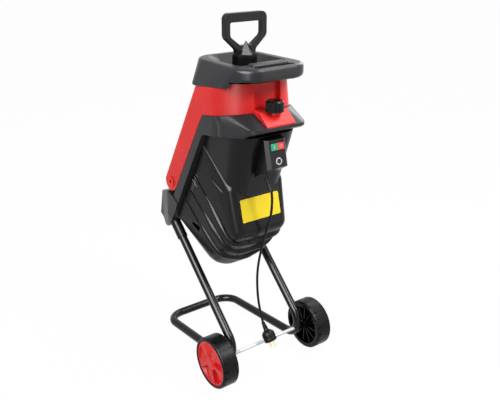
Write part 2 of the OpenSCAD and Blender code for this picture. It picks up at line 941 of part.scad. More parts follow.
// Involute gear outline, with the tooth thinned by the backlash
function involute(base, r) = let (a = acos(base / r)) tan(a) * 180 / PI - a;
function tooth_side(base, pitch, half, radii, s) =
    [for (r = radii)
        let (a = s * (half - involute(base, max(r, base)) + involute(base, pitch))) r * [cos(a), sin(a)]];

module gear(teeth) {
    pitch = tooth_module * teeth / 2;
    base = pitch * cos(pressure_angle);
    outer = pitch + addendum * tooth_module;
    root = pitch - dedendum * tooth_module;
    start = max(base, root) + 0.01;
    half = 90 / teeth - backlash / 2 / pitch * 180 / PI;
    radii = [for (i = [0 : 4]) start + (outer - start) * i / 4];
    foot = root + 0.01;
    polygon([for (t = [0 : teeth - 1]) let (turn = t * 360 / teeth) each [
        for (p = concat(
            [foot * [cos(half + involute(base, pitch)), -sin(half + involute(base, pitch))]],
            tooth_side(base, pitch, half, radii, -1),
            [for (q = [len(radii) - 1 : -1 : 0]) tooth_side(base, pitch, half, radii, 1)[q]],
            [foot * [cos(half + involute(base, pitch)), sin(half + involute(base, pitch))]]
        )) [p[0] * cos(turn) - p[1] * sin(turn), p[0] * sin(turn) + p[1] * cos(turn)]
    ]]);
}

module rotor_shaft() {
    color("#d0d3d6") on_rotor() {
        translate([0, 0, gear_w - 3]) cylinder(r = rotor_shaft_d / 2, h = end_w - gear_w + 2);
        translate([0, 0, gear_w - 1]) rotate([0, 0, -90 + 180 / pinion_teeth])
            linear_extrude(gear_t + 2) gear(pinion_teeth);
    }
}

module rotor_core() {
    slots = 12;
    color("#8a8d92") on_rotor() translate([0, 0, stator_w]) difference() {
        ring(rotor_shaft_d / 2 + 0.02, rotor_d / 2, stator_l);
        for (i = [0 : slots - 1]) rotate([0, 0, i * 360 / slots])
            translate([rotor_d / 2 - 6, -1.2, -1]) cube([10, 2.4, stator_l + 2]);
    }
}

module commutator() {
    color("#c27a3e") on_rotor() translate([0, 0, commutator_w])
        ring(rotor_shaft_d / 2 + 0.02, commutator_r, 14);
}

module cooling_fan() {
    blades = 11;
    color("#2c2e31") on_rotor() translate([0, 0, fan_w]) union() {
        ring(rotor_shaft_d / 2 + 0.02, 12, 8);
        ring(11, fan_r, 2);
        for (i = [0 : blades - 1]) rotate([0, 0, i * 360 / blades])
            translate([14, -1, 1]) cube([fan_r - 16, 2, 7]);
    }
}

module spindle() {
    color("#cdd0d3") drive() translate([0, 0, -disc_t / 2])
        cylinder(r = spindle_d / 2, h = gear_w + gear_t + disc_t / 2);
}

module spindle_gear() {
    color("#a5a8ac") drive() translate([0, 0, gear_w]) rotate([0, 0, -90])
        linear_extrude(gear_t) difference() {
        gear(gear_teeth);
        circle(spindle_d / 2 + 0.02);
    }
}

// Cutter disc with its two knives, knife slots and hub
module cutter_disc() {
    color("#83868b") drive() difference() {
        union() {
            translate([0, 0, -disc_t / 2]) cylinder(r = disc_d / 2, h = disc_t);
            cylinder(r = 22, h = band_half - 4.5);
        }
        translate([0, 0, -20]) cylinder(r = spindle_d / 2 + 0.02, h = 60);
        for (s = [0, 180]) rotate([0, 0, s]) {
            translate([knife_r, knife_w / 2 + 6, -disc_t]) slab(knife_l, 9, 2 * disc_t);
            knife_screw_places() translate([0, 0, -disc_t]) cylinder(r = 3.1, h = 2 * disc_t);
        }
    }
}

module knife_screw_places() {
    for (x = [-18, 18]) translate([knife_r + x, 0, 0]) children();
}

module knives() {
    color("#c9ccd0") drive() for (s = [0, 180]) rotate([0, 0, s]) translate([0, 0, -disc_t / 2 - knife_t])
        difference() {
            translate([knife_r - knife_l / 2, 0, 0]) rotate([90, 0, 90]) linear_extrude(knife_l)
                polygon([
                    [-knife_w / 2, 0], [knife_w / 2 - 8, 0], [knife_w / 2, knife_t], [-knife_w / 2, knife_t]
                ]);
            knife_screw_places() {
                translate([0, 0, -1]) cylinder(r = 3.1, h = knife_t + 2);
                translate([0, 0, -0.01]) cylinder(r1 = 6.1, r2 = 3.1, h = 3);
            }
        }
}

module knife_screws() {
    color("#55585c") drive() for (s = [0, 180]) rotate([0, 0, s]) translate([0, 0, -disc_t / 2 - knife_t])
        knife_screw_places() union() {
            cylinder(r1 = 5.9, r2 = 3, h = 2.95);
            cylinder(r = 3, h = disc_t + knife_t - 0.5);
        }
}

module disc_bolt() {
    color("#55585c") drive() translate([0, 0, -disc_t / 2 - 5]) union() {
        cylinder(r = 13, h = 5);
        translate([0, 0, -4]) cylinder(r = 8, h = 4, $fn = 6);
    }
}

// Hopper

// The lower end is rolled round the hinge
function roll_points(inset) = [for (p = roll) hinge_at + (p[1] - inset) * [cos(p[0]), sin(p[0])]];

module roll_shell() {
    back = [for (i = [len(roll) - 1 : -1 : 0]) roll_points(wall)[i]];
    intersection() {
        across(400) polygon(concat(roll_points(0.01), back));
        body_form(0.01);
    }
}

module hopper_side() {
    d = seam * [1, 1];
    low = lean_point(hinge_v, -band_half);
    polygon(concat(
        [low + d], roll_points(0),
        [lean_point(hinge_v + 12, rear_w - 20), [rear_line(form_top) + 20, form_top]],
        [[form_front - 10, form_top], [form_front - 10, split_top_front[1] + seam], split_top_front + d],
        round_corner(split_top_front + d, split_top_rear + d, low + d, split_r)
    ));
}

// The recess behind the knob: its walls, and the room they leave
module recess_walls() {
    translate([-recess_half - wall, form_front + 1, recess_low])
        cube([2 * (recess_half + wall), recess_depth + wall, recess_high - recess_low]);
}

module recess_room() {
    translate([-recess_half, 2 * ramp_front, recess_low + 2 * wall])
        cube([2 * recess_half, form_front + 1 + recess_depth - 2 * ramp_front, recess_high - recess_low]);
}

module tongue() {
    difference() {
        across(2 * tongue_half) polygon([
            split_top_front + [14, 4], split_top_front + [14, 8], [-26, tongue_back],
            [ramp_front + 1, tongue_front], [ramp_front + 1, ramp_low + 3 * face_gap],
            split_top_front + [0, face_gap]
        ]);
        translate([0, knob_y, 600]) cylinder(r = stud_r + run_gap, h = 200);
    }
    difference() {
        translate([0, knob_y, tongue_back - 8])
            cylinder(r = stud_r + 6, h = knob_z - face_gap - tongue_back + 8);
        translate([0, knob_y, 600]) cylinder(r = stud_r + run_gap, h = 200);
    }
}

module hopper_shell() {
    color("#d2261e") on_axle() difference() {
        union() {
            intersection() {
                difference() {
                    body_form(0);
                    difference() {
                        body_form(wall);
                        both_sides() at_hinge(hinge_x1) cylinder(r = hinge_boss_r, h = 60);
                    }
                }
                across(400) hopper_side();
            }
            roll_shell();
            intersection() {
                recess_walls();
                body_form(0);
            }
            tongue();
            both_sides() at_hinge(hinge_x2 - wall) cylinder(r = lug_r, h = hinge_bump + wall);
        }
        recess_room();
        both_sides() at_hinge(hinge_x0 - seam) cylinder(r = 40, h = hinge_x1 - hinge_x0 + seam + face_gap);
        at_hinge(-150) cylinder(r = hinge_pin_r + run_gap, h = 300);
    }
}

// Collar: a bowl-shaped rim with a grip rail across the front

module post(x, y, z, plan_r, edge_r) {
    for (s = [-1, 1]) translate([s * x, y, z]) rotate_extrude($fn = 36)
        translate([plan_r - edge_r, 0]) circle(edge_r, $fn = 16);
}

module collar_form(inset) {
    hull() for (p = collar_posts) post(p[0], p[1], p[2], p[3] - inset, p[4] - inset);
}

module funnel(inset) {
    hull() {
        for (c = mouth_corners, s = [-1, 1]) translate([s * c[0], c[1], mouth_top])
            cylinder(r = c[2] - inset, h = 1, $fn = 48);
        translate([0, plunger_y, funnel_floor]) slab(slot_w + 8 - 2 * inset, chute_depth + 4 - 2 * inset, 1);
    }
}

// The finger gap behind the grip rail
module grip_gap(inset) {
    r = (grip_rear - grip_front) / 2 - inset;
    hull() for (s = [-1, 1]) translate([s * (grip_half - r), (grip_front + grip_rear) / 2, 720])
        cylinder(r = r, h = 140, $fn = 32);
}

module collar_hollow() {
    difference() {
        union() {
            collar_form(wall);
            translate([0, 0, -hollow_drop]) collar_form(wall);
        }
        funnel(-wall);
        translate([0, plunger_y, funnel_floor - wall]) slab(slot_w + 2 * wall, chute_depth + 2 * wall, 60);
        grip_gap(-wall);
        translate([-200, -100, 700]) cube([400, 100 + grip_front, 200]);
        translate([-rail_half - wall, grip_rear, 700])
            cube([2 * (rail_half + wall), rail_rear - grip_rear, 200]);
    }
}

module hopper_collar() {
    color("#3d3f44") on_axle() difference() {
        collar_form(0);
        funnel(0);
        translate([0, plunger_y, 700]) slab(slot_w, chute_depth, 200);
        grip_gap(0);
        collar_hollow();
        translate([-200, -100, 700]) cube([400, 100 + skirt_front, rail_low - 700]);
        body_form(-0.4);
    }
}

// The chute leads from the funnel slot to the cutter
module chute_outline(inset) {
    past = inset > 0 ? 6 : 0;
    polygon([
        [plunger_y - chute_depth / 2 + inset, funnel_floor - wall - face_gap + past],
        [plunger_y + chute_depth / 2 - inset, funnel_floor - wall - face_gap + past],
        lean_point(190, rear_w + wall + face_gap + inset), lean_point(96, rear_w + wall + face_gap + inset),
        lean_point(14 + inset, chute_w), lean_point(14 + inset, chute_w + past),
        lean_point(chute_v - inset, chute_w + past), lean_point(chute_v - inset, chute_w),
        chute_knee + inset * [0.9, 0.5], [plunger_y - chute_depth / 2 + inset, chute_bend + inset / 2]
    ]);
}

module feed_chute() {
    color("#26282b") on_axle() difference() {
        across(slot_w + 2 * wall) chute_outline(0);
        across(slot_w) chute_outline(wall);
    }
}

module counter_blade() {
    color("#b6b9bd") drive() translate([0, 11.1, chute_w - 6]) slab(stem_w, 5, 6);
}

// Lock knob and stud

module lock_knob() {
    color("#1a1b1d") on_axle() translate([0, knob_y, knob_z]) difference() {
        union() {
            cylinder(r = knob_d / 2, h = knob_h - 4);
            translate([0, 0, knob_h - 4]) cylinder(r1 = knob_d / 2, r2 = knob_d / 2 - 4, h = 4);
        }
        for (i = [0 : knob_flutes - 1]) rotate([0, 0, i * 360 / knob_flutes])
            translate([knob_d / 2 + 1, 0, -1]) cylinder(r = 2.6, h = knob_h + 2);
        translate([0, 0, -1]) cylinder(r = stud_r + 0.02, h = knob_h - 8);
    }
}

module lock_stud() {
    color("#b4b7bb") on_axle() translate([0, knob_y, 0]) {
        translate([0, 0, stud_tip + stud_r])
            cylinder(r = stud_r, h = knob_z + knob_h - 10 - stud_tip - stud_r);
        translate([0, 0, stud_tip]) cylinder(r1 = 0.5, r2 = stud_r, h = stud_r);
    }
}

// Plunger

// Right half of the D, from the neck up and over, then the hand gap inside it
function d_half(p, radii) = [
    for (i = [1 : len(p) - 2]) each round_corner(p[i - 1], p[i], p[i + 1], radii[i - 1])
];
function both_halves(p) = concat(p, [for (i = [len(p) - 1 : -1 : 0]) [-p[i][0], p[i][1]]]);

module plunger_handle() {
    color("#17181a") on_axle() translate([0, plunger_y, 0]) {
        rotate([90, 0, 0]) translate([0, 0, -handle_t / 2]) linear_extrude(handle_t) difference() {
            polygon(both_halves(concat([d_outer[0]], d_half(d_outer, d_outer_r))));
            polygon(both_halves(d_half(d_inner, d_inner_r)));
        }
        translate([0, 0, stem_top]) slab(stem_w, block_t, block_top - stem_top);
        hull() {
            translate([0, 0, block_top - 1]) slab(stem_w, block_t, 1);
            translate([0, 0, d_inner[0][1] - 1]) slab(ridge_w, handle_t, 1);
        }
    }
}

module plunger_stem() {
    rib = 5;
    color("#1c1d20") on_axle() translate([0, plunger_y, stem_low]) union() {
        slab(stem_w, rib, stem_top - stem_low);
        for (x = [-stem_w / 2 + rib / 2, 0, stem_w / 2 - rib / 2])
            translate([x, 0, 0]) slab(rib, stem_t, stem_top - stem_low);
        slab(stem_w, stem_t, 6);
        translate([0, 0, funnel_floor + face_gap - stem_low]) slab(slot_w + 4, chute_depth + 2, 5);
    }
}

// Switch

module switch_box() {
    color("#232427") difference() {
        on_switch() union() {
            hull() {
                translate([0, (face_low + face_high) / 2, -0.5])
                    slab(2 * face_half, face_high - face_low, 0.5);
                translate([0, (face_low + face_high) / 2, -bevel_t])
                    slab(2 * bevel_half, face_high - face_low + 4, 1);
            }
            translate([-bevel_half, 0, 0]) rotate([0, 90, 0]) linear_extrude(2 * bevel_half) polygon([
                [bevel_t - 0.5, face_low - 2], [bevel_t - 0.5, face_high + 2],
                [40, face_high + 2], [70, face_low - 24]
            ]);
        }
        on_axle() throat(face_gap);
        on_axle() nose(face_gap);
        on_axle() translate([-100, -100, visor_low_front[1] - 6]) cube([200, 200, 60]);
        on_switch() translate([0, button_v, -18]) slab(button_w + 7.4, button_h + 7.4, 30);
        on_switch() translate([0, reset_v, -14]) cylinder(r = ring_r + 0.1, h = 30);
        on_axle() point_along(relief_top, relief_end) translate([0, 0, -20])
            cylinder(r = relief_r + 0.1, h = 40);
    }
}

module switch_bezel() {
    color("#101113") on_switch() translate([0, button_v, -17.7]) difference() {
        slab(button_w + 7, button_h + 7, 18.7);
        translate([0, 0, 4]) slab(button_w + 0.6, button_h + 0.6, 20);
    }
}

module push_button() {
    translate([button_w / 4, button_v, button_floor + button_travel + 1 - button_deep])
        slab(button_w / 2 - 0.4, button_h, button_deep - 2 - button_travel);
}

module on_button() { color("#1d9a5b") on_switch() mirror([1, 0, 0]) push_button(); }
module off_button() { color("#d83a34") on_switch() push_button(); }

module reset_ring() {
    color("#b9bbbe") on_switch() translate([0, reset_v, -reset_deep]) difference() {
        cylinder(r = ring_r, h = 15);
        translate([0, 0, 2]) cylinder(r = reset_d / 2 + 0.1, h = 20);
    }
}

module reset_button() {
    color("#2b2c2f") on_switch() translate([0, reset_v, button_travel + 2.5 - reset_deep])
        cylinder(r = reset_d / 2, h = reset_deep - 2 - button_travel);
}

module strain_relief() {
    color("#2a2b2e") on_axle() point_along(relief_top, relief_end) union() {
        translate([0, 0, -14]) cylinder(r = relief_r, h = 16);
        for (i = [0 : 4]) translate([0, 0, 2 + i * 6]) cylinder(r = relief_r - 0.6 - i * 0.25, h = 4);
        cylinder(r = cord_r + 0.8, h = norm(relief_end - relief_top));
    }
}

// The cord is swept along a smooth curve through its points
function spline(p, i, t) = let (
        a = p[max(i - 1, 0)], b = p[i], c = p[i + 1], d = p[min(i + 2, len(p) - 1)]
    ) b + (c - a) * t / 2 + (a - 2.5 * b + 2 * c - d / 2) * t * t
        + (1.5 * b - a / 2 - 1.5 * c + d / 2) * t * t * t;
cord_line = concat(
    [for (i = [0 : len(cord_points) - 2], k = [0 : cord_steps - 1]) spline(cord_points, i, k / cord_steps)],
    [cord_points[len(cord_points) - 1]]
);
function heading(i) = i == 0 ? relief_end - relief_top
    : i == len(cord_line) - 1 ? plug_face - plug_neck
    : cord_line[i + 1] - cord_line[i - 1];
function cord_ring(i) = let (t = unit(heading(i)), n = unit(cross(t, [1, 0, 0])), b = cross(t, n))
    [for (k = [0 : cord_sides - 1]) let (turn = k * 360 / cord_sides)
        cord_line[i] + cord_r * (cos(turn) * n + sin(turn) * b)];

module supply_cord() {
    m = cord_sides;
    last = (len(cord_line) - 1) * m;
    color("#141517") on_axle() polyhedron(
        points = [for (i = [0 : len(cord_line) - 1]) each cord_ring(i)],
        faces = concat(
            [[for (k = [0 : m - 1]) k]],
            [for (i = [0 : len(cord_line) - 2], k = [0 : m - 1]) each
                let (a = i * m + k, b = i * m + (k + 1) % m) [[a, a + m, b + m], [a, b + m, b]]],
            [[for (k = [m - 1 : -1 : 0]) last + k]]
        )
    );
}

module plug_body() {
    color("#17181a") on_axle() point_along(plug_neck, plug_face) difference() {
        union() {
            cylinder(r1 = 6, r2 = 9, h = plug_l - 34);
            translate([0, 0, plug_l - 34]) cylinder(r1 = 12, r2 = plug_r, h = 10);
            translate([0, 0, plug_l - 24]) cylinder(r = plug_r, h = 24);
        }
        for (s = [-1, 1]) translate([s * pin_spacing / 2, 0, plug_l - pin_sunk])
            cylinder(r = pin_root_r + film_gap, h = 2 * pin_sunk);
    }
}

module plug_pins() {
    color("#c9b26a") on_axle() point_along(plug_neck, plug_face) for (s = [-1, 1])
        translate([s * pin_spacing / 2, 0, plug_l]) union() {
            translate([0, 0, -pin_sunk]) cylinder(r = pin_root_r, h = pin_sunk + pin_bare + 1);
            translate([0, 0, pin_bare]) cylinder(r = pin_r, h = pin_l - pin_r - pin_bare);
            translate([0, 0, pin_l - pin_r]) sphere(r = pin_r);
        }
}

stand_tube();
axle_rod();
axle_spacers();
axle_clips();
left_tyre();
left_wheel_core();
left_hub_cap();
right_tyre();
right_wheel_core();
right_hub_cap();
cutter_housing();
leg_sockets();
leg_bolts();
hinge_pins();
lock_seat();
motor_cover();
cover_screws();
front_sticker();
motor_plate();
gear_case();
spindle_bearing();
motor_can();
stator_core();
field_windings();
brush_holders();
rotor_bearings();
rotor_shaft();
rotor_core();
commutator();
cooling_fan();
spindle();
spindle_gear();
cutter_disc();
knives();
knife_screws();
disc_bolt();
hopper_shell();
hopper_collar();
feed_chute();
counter_blade();
lock_knob();
lock_stud();
plunger_handle();
plunger_stem();
switch_box();
switch_bezel();
on_button();
off_button();
reset_button();
reset_ring();
strain_relief();
supply_cord();
plug_body();
plug_pins();
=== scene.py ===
import json
from math import atan2, cos, degrees, hypot, pi, radians, sin

import bpy
from mathutils import Matrix, Vector

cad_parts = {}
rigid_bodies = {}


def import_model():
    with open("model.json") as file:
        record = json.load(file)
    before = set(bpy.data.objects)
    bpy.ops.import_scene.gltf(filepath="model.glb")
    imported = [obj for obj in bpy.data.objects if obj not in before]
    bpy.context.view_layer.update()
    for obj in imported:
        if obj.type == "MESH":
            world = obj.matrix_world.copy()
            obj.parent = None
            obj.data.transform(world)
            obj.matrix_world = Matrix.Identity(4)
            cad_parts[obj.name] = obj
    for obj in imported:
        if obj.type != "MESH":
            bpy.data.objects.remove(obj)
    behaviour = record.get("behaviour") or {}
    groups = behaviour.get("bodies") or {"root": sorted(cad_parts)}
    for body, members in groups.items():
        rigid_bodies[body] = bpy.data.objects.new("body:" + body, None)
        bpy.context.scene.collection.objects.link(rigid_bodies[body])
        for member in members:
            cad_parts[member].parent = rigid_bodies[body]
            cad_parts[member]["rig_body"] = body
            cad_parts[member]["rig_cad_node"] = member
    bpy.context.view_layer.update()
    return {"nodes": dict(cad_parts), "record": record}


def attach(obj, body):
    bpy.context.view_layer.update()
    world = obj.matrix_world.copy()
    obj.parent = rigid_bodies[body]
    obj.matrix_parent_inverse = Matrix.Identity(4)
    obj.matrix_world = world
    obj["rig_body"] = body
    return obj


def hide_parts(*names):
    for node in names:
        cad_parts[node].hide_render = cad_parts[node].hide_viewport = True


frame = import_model()
nodes = frame["nodes"]
record = frame["record"]
body_of = {node: body for body, members in record["behaviour"]["bodies"].items() for node in members}
slot_of = {part["node"]: part["material_slot"] for part in record["subparts"]}
scene = bpy.context.scene
scene.view_settings.view_transform = "Standard"

# The axle is at this place in the frame; photo measures are taken from it
AXLE = Vector((0, -0.15575, 0.075))


def at(x, y, z):
    """A point given in millimetres from the axle, in the frame's metres."""
    return AXLE + Vector((x, y, z)) / 1000


# Camera at the photograph's place
CAMERA_PLACE = (-1.0216, -1.47485, 1.1979)
CAMERA_TURN = (radians(68.016), 0, radians(-36.21))
bpy.ops.object.camera_add(location=CAMERA_PLACE, rotation=CAMERA_TURN)
camera = bpy.context.object
camera.data.lens = 47.66
camera.data.sensor_width = 36
camera.data.clip_end = 50
scene.camera = camera


# Shader kit

class Value:
    """A number in a material's nodes; arithmetic on it adds Math nodes."""

    def __init__(self, finish, socket):
        self.finish, self.socket = finish, socket

    def math(self, operation, other):
        return self.finish.node("ShaderNodeMath", {"operation": operation}, {0: self, 1: other})

    def __add__(self, other): return self.math("ADD", other)
    def __radd__(self, other): return self.math("ADD", other)
    def __mul__(self, other): return self.math("MULTIPLY", other)
    def __rmul__(self, other): return self.math("MULTIPLY", other)

    def smooth(self, low, high):
        """0 below low, 1 above high and a soft step between."""
        return self.finish.node("ShaderNodeMapRange", {"interpolation_type": "SMOOTHSTEP"},
                                {0: self, 1: low, 2: high})


class Finish:
    """A material with one Principled shader."""

    def __init__(self, name):
        self.material = bpy.data.materials.new(name)
        self.material.use_nodes = True
        self.tree = self.material.node_tree
        self.shader = self.tree.nodes["Principled BSDF"]

    def node(self, kind, settings=None, inputs=None, out=0):
        new = self.tree.nodes.new(kind)
        for key, value in (settings or {}).items():
            setattr(new, key, value)
        for key, value in (inputs or {}).items():
            self.feed(new.inputs[key], value)
        return Value(self, new.outputs[out])

    def feed(self, socket, value):
        if isinstance(value, Value):
            self.tree.links.new(value.socket, socket)
        else:
            socket.default_value = value

    def set(self, **inputs):
        for key, value in inputs.items():
            self.feed(self.shader.inputs[key.replace("_", " ")], value)
        return self

    def place(self):
        return self.node("ShaderNodeTexCoord", out=3)

    def noise(self, scale, detail=3, where=None):
        return self.node("ShaderNodeTexNoise", {}, {
            "Vector": where or self.place(), "Scale": scale, "Detail": detail})

    def cells(self, scale):
        return self.node("ShaderNodeTexVoronoi", {}, {"Vector": self.place(), "Scale": scale})

    def mix(self, factor, first, second):
        return self.node("ShaderNodeMix", {"data_type": "RGBA"}, {0: factor, 6: first, 7: second}, out=2)

    def bump(self, height, strength, depth):
        self.set(Normal=self.node("ShaderNodeBump", {}, {
            "Strength": strength, "Distance": depth, "Height": height}))
        return self


def shade(colour, factor):
    return (*[c * factor for c in colour], 1)


def moulding(name, colour, rough, grain=0.35, spread=0.12, level=0.4):
    """Moulded plastic: a spark-eroded grain, faint flow mottling and uneven gloss."""
    finish = Finish(name)
    mottle = finish.noise(9, 4).smooth(0.3, 0.7)
    fine = finish.cells(1500) * 0.5 + finish.noise(1100, 2) * 0.5
    finish.set(Base_Color=finish.mix(mottle, shade(colour, 1 - spread), shade(colour, 1 + spread)),
               Roughness=rough - 0.05 + 0.1 * finish.noise(28, 3), Specular_IOR_Level=level)
    return finish.bump(fine, grain, 0.00012).material


def metal(name, colour, rough, streak=(400, 400, 30), depth=0.00002):
    """Bare or plated metal with drawn streaks and dulled patches."""
    finish = Finish(name)
    along = finish.node("ShaderNodeVectorMath", {"operation": "MULTIPLY"}, {0: finish.place(), 1: streak})
    lines = finish.noise(1, 4, where=along)
    dull = finish.noise(40, 3).smooth(0.4, 0.75)
    finish.set(Base_Color=finish.mix(dull, shade(colour, 1.05), shade(colour, 0.82)), Metallic=1.0,
               Roughness=rough + 0.14 * dull + 0.1 * lines)
    return finish.bump(lines, 0.4, depth).material


def enamel(name, colour, rough):
    """Powder coat: gloss black with an orange-peel skin."""
    finish = Finish(name)
    peel = finish.noise(260, 2)
    finish.set(Base_Color=finish.mix(finish.noise(14, 3), shade(colour, 0.8), shade(colour, 1.25)),
               Roughness=rough + 0.06 * finish.noise(60, 3), Specular_IOR_Level=0.20)
    return finish.bump(peel, 0.04, 0.0001).material


finishes = {
    "black_tube": enamel("black powder coat", (0.004, 0.004, 0.0045), 0.16),
    "zinc_steel": metal("zinc plate", (0.46, 0.47, 0.49), 0.56, (30, 400, 400), 0.000002),
    "bright_steel": metal("ground steel", (0.70, 0.71, 0.73), 0.22),
    "core_steel": metal("dull steel", (0.36, 0.37, 0.39), 0.42),
    "aluminium": metal("cast aluminium", (0.62, 0.63, 0.65), 0.48, (200, 200, 200)),
    "copper_wire": metal("copper", (0.60, 0.27, 0.12), 0.32),
    "brass": metal("brass", (0.78, 0.58, 0.27), 0.28),
    "tyre": moulding("tyre plastic", (0.003, 0.003, 0.0033), 0.34, 0.4, 0.2, 0.13),
    "black_plastic": moulding("black moulding", (0.003, 0.003, 0.0034), 0.22, 0.10, 0.12, 0.17),
    "cover_plastic": moulding("cover moulding", (0.005, 0.005, 0.0056), 0.28, 0.14, 0.12, 0.17),
    "grey_plastic": moulding("grey moulding", (0.018, 0.0185, 0.0205), 0.34, 0.18, 0.10, 0.22),
    "red_plastic": moulding("red moulding", (0.68, 0.020, 0.018), 0.34, 0.12, 0.05, 0.18),
    "light_plastic": moulding("light grey moulding", (0.42, 0.43, 0.44), 0.45),
    "green_plastic": moulding("green button", (0.004, 0.30, 0.13), 0.35),
    "red_button": moulding("red button", (0.75, 0.035, 0.035), 0.35),
    "yellow_film": moulding("yellow film", (0.78, 0.58, 0.014), 0.36, 0.1, 0.03, 0.25),
    "soft_black": moulding("soft black plastic", (0.004, 0.004, 0.0045), 0.40, 0.3, 0.15, 0.14),
}


def paint(piece, slot):
    piece.data.materials.clear()
    piece.data.materials.append(finishes[slot])
    if piece.type == "MESH":
        for face in piece.data.polygons:
            face.material_index = 0


for name, cad in nodes.items():
    paint(cad, slot_of[name])


# Modelling kit

def only(piece):
    if bpy.context.mode != "OBJECT":
        bpy.ops.object.mode_set(mode="OBJECT")
    bpy.ops.object.select_all(action="DESELECT")
    piece.select_set(True)
    bpy.context.view_layer.objects.active = piece


def finish_with(piece, kind, **settings):
    only(piece)
    modifier = piece.modifiers.new(kind.lower(), kind)
    for key, value in settings.items():
        setattr(modifier, key, value)
    bpy.ops.object.modifier_apply(modifier=modifier.name)


def dress(piece, node, slot):
    """Gives a piece its finish and the body that carries a node."""
    paint(piece, slot)
    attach(piece, body_of[node])


def stand_for(piece, node):
    """The piece takes a node's place: it gets the node's body and finish, and the node is hidden."""
    dress(piece, node, slot_of[node])
    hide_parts(node)


def from_node(node, name, reshape=None):
    """A copy of a node's form, reshaped if need be, with its triangles joined into whole faces."""
    only(nodes[node])
    bpy.ops.object.duplicate()
    piece = bpy.context.object
    piece.name = piece.data.name = name
    piece.parent = None
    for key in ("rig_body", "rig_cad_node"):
        if key in piece:
            del piece[key]
    bpy.ops.mesh.customdata_custom_splitnormals_clear()
    bpy.ops.object.mode_set(mode="EDIT")
    bpy.ops.mesh.select_all(action="SELECT")
    bpy.ops.mesh.remove_doubles(threshold=0.00002)
    if reshape:
        bpy.ops.object.mode_set(mode="OBJECT")
        reshape(piece)
        bpy.ops.object.mode_set(mode="EDIT")
        bpy.ops.mesh.select_all(action="SELECT")
    bpy.ops.mesh.dissolve_limited(angle_limit=radians(0.8))
    bpy.ops.mesh.vert_connect_concave()
    bpy.ops.object.mode_set(mode="OBJECT")
    return piece


SHARP_EDGE, SMOOTH_EDGE = radians(32), radians(40)


def rounded(piece, edge, steps=3):
    """Rounds the sharp edges of a piece and smooths its shading."""
    finish_with(piece, "BEVEL", width=edge / 1000, segments=steps, limit_method="ANGLE",
                angle_limit=SHARP_EDGE, use_clamp_overlap=True, miter_outer="MITER_ARC")
    only(piece)
    bpy.ops.object.shade_smooth_by_angle(angle=SMOOTH_EDGE)
    finish_with(piece, "WEIGHTED_NORMAL", mode="FACE_AREA", weight=60, keep_sharp=True)
    return piece


def eased(node, name, edge, steps=3, reshape=None):
    """A node's form with its moulded edges rounded."""
    piece = rounded(from_node(node, name, reshape), edge, steps)
    stand_for(piece, node)
    return piece


def fresh(name):
    piece = bpy.context.object
    piece.name = piece.data.name = name
    return piece


def turned(name, profile, sides=48, hoop=False):
    """A round piece drawn up ring by ring, with the radius and height of each in millimetres.

    A hoop is open inside, and its last ring meets its first.
    """
    bpy.ops.object.select_all(action="DESELECT")
    (radius, height), *rest = profile
    bpy.ops.mesh.primitive_circle_add(vertices=sides, radius=radius / 1000,
                                      fill_type="NOTHING" if hoop else "NGON")
    piece = fresh(name)
    bpy.ops.object.mode_set(mode="EDIT")
    bpy.ops.mesh.select_all(action="SELECT")
    bpy.ops.transform.translate(value=(0, 0, height / 1000))
    for wider, higher in rest + ([profile[0]] if hoop else []):
        bpy.ops.mesh.extrude_region_move(TRANSFORM_OT_translate={"value": (0, 0, (higher - height) / 1000)})
        bpy.ops.transform.resize(value=(wider / radius, wider / radius, 1))
        radius, height = wider, higher
    bpy.ops.mesh.select_all(action="SELECT")
    bpy.ops.mesh.remove_doubles(threshold=0.00001)
    bpy.ops.mesh.normals_make_consistent(inside=False)
    bpy.ops.object.mode_set(mode="OBJECT")
    return piece


def block(name, size, middle=(0, 0, 0)):
    """A box to start from, in millimetres."""
    bpy.ops.object.select_all(action="DESELECT")
    bpy.ops.mesh.primitive_cube_add(size=0.001, location=Vector(middle) / 1000)
    piece = fresh(name)
    piece.scale = size
    bpy.ops.object.transform_apply()
    return piece


def cut_cross(piece, reach, width, top, depth):
    """Cuts a cross recess into the top of a screw head."""
    for size in ((2 * reach, width, 2 * depth), (width, 2 * reach, 2 * depth)):
        cutter = block("cutter", size, (0, 0, top))
        finish_with(piece, "BOOLEAN", object=cutter, operation="DIFFERENCE", solver="EXACT")
        bpy.data.objects.remove(cutter)


def stood(piece, place):
    """Moves a piece into a frame of the object and leaves its place in its mesh."""
    piece.matrix_world = place
    only(piece)
    bpy.ops.object.transform_apply()
    return piece


def along(start, end):
    """The frame at start with Z towards end."""
    return Matrix.Translation(start) @ (end - start).to_track_quat("Z", "Y").to_matrix().to_4x4()


def copied(piece, name, place):
    """Another of the same piece, with its own mesh, at a place."""
    only(piece)
    bpy.ops.object.duplicate()
    return stood(fresh(name), place)


def joined(first, *others):
    only(first)
    for other in others:
        other.select_set(True)
    bpy.ops.object.join()
    return first


# Cord: the same route as the part's, with the relief and plug on its ends

CORD_POINTS = [
    (0, -21, 480), (1, -23, 455), (0, -20, 412), (-2, -6, 366), (-4, 6, 328), (-6, 16, 290),
    (-8, 24, 250), (-10, 27, 210), (-11, 25, 168), (-11, 19, 128), (-10, 10, 94), (-9, 0, 66),
]
CORD_STEPS = 6
CORD_DIAMETER = 0.007


def route(points, steps):
    """A smooth curve through the points."""
    line = []
    for i in range(len(points) - 1):
        a, b = points[max(i - 1, 0)], points[i]
        c, d = points[i + 1], points[min(i + 2, len(points) - 1)]
        for k in range(steps):
            t = k / steps
            line.append(0.5 * (2 * b + (c - a) * t + (2 * a - 5 * b + 4 * c - d) * t * t
                               + (3 * b - a - 3 * c + d) * t ** 3))
    return line + [points[-1]]


